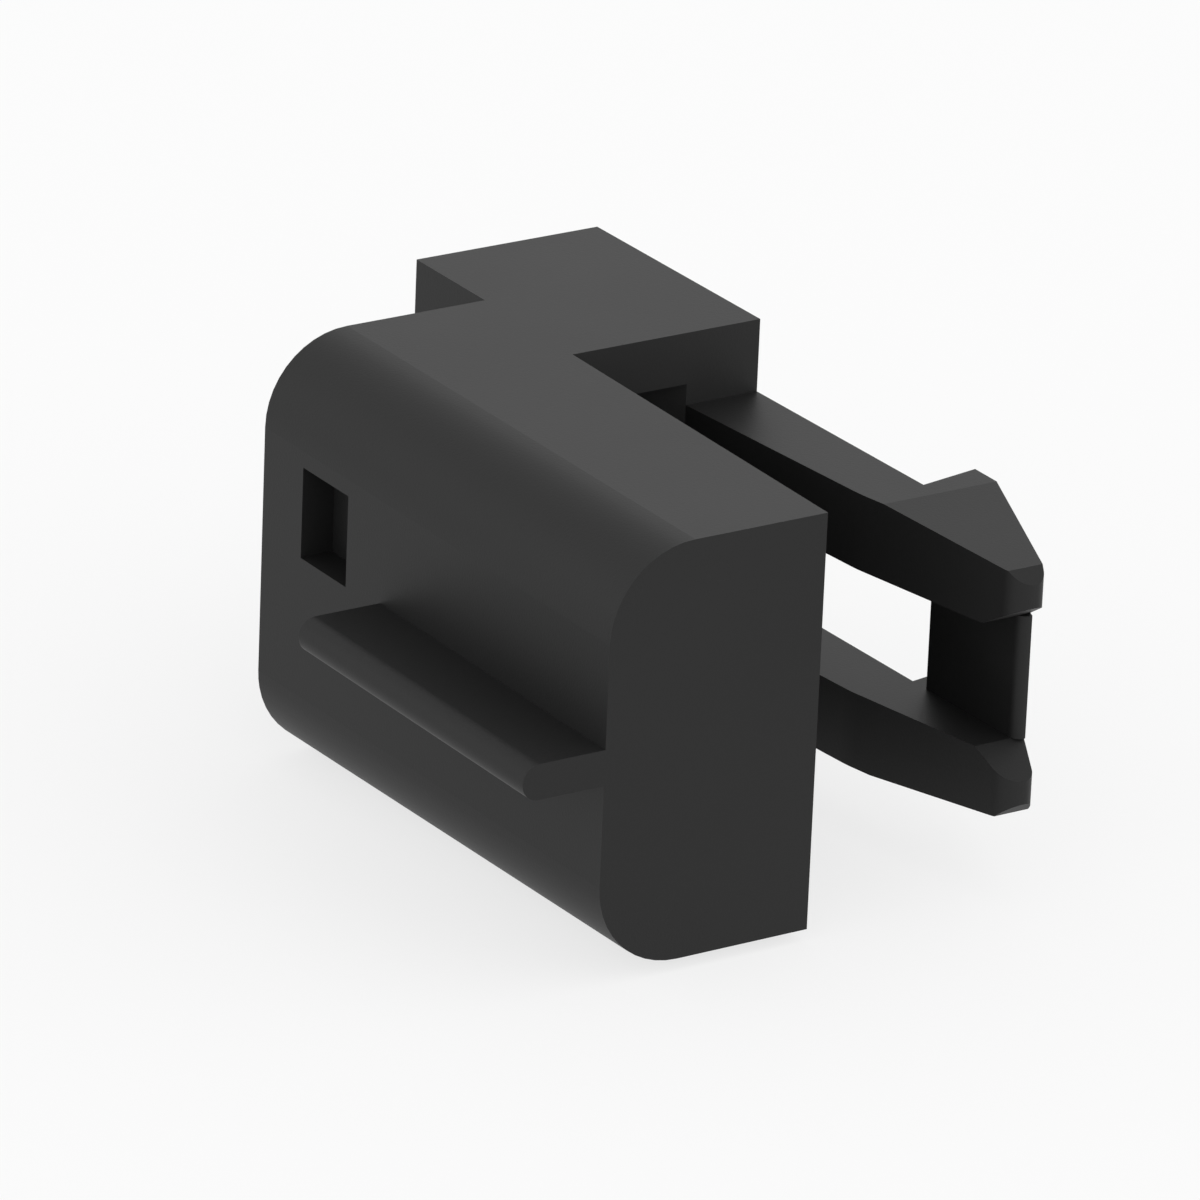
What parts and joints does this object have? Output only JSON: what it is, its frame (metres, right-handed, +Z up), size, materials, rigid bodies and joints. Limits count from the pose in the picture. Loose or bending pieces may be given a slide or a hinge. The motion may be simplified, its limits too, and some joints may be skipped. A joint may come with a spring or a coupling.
{
  "type": "connector housing",
  "caption": "Moulded connector housing with a round-fronted body, a finger rib, a pocket, a back block and a forked snap latch with ramped hooks.",
  "frame": {"origin": "below the middle of the whole piece seen from above, level with the lowest edge of its underside, which is at the left end", "axes": "+X along the body towards the tips of the latch arms, +Y from the rounded front to the back, +Z up"},
  "size_m": [0.015, 0.012, 0.0084],
  "materials": {
    "plastic": "plain black moulded plastic, satin"
  },
  "bodies": {
    "root": {"housing": "plastic"}
  },
  "joints": []
}
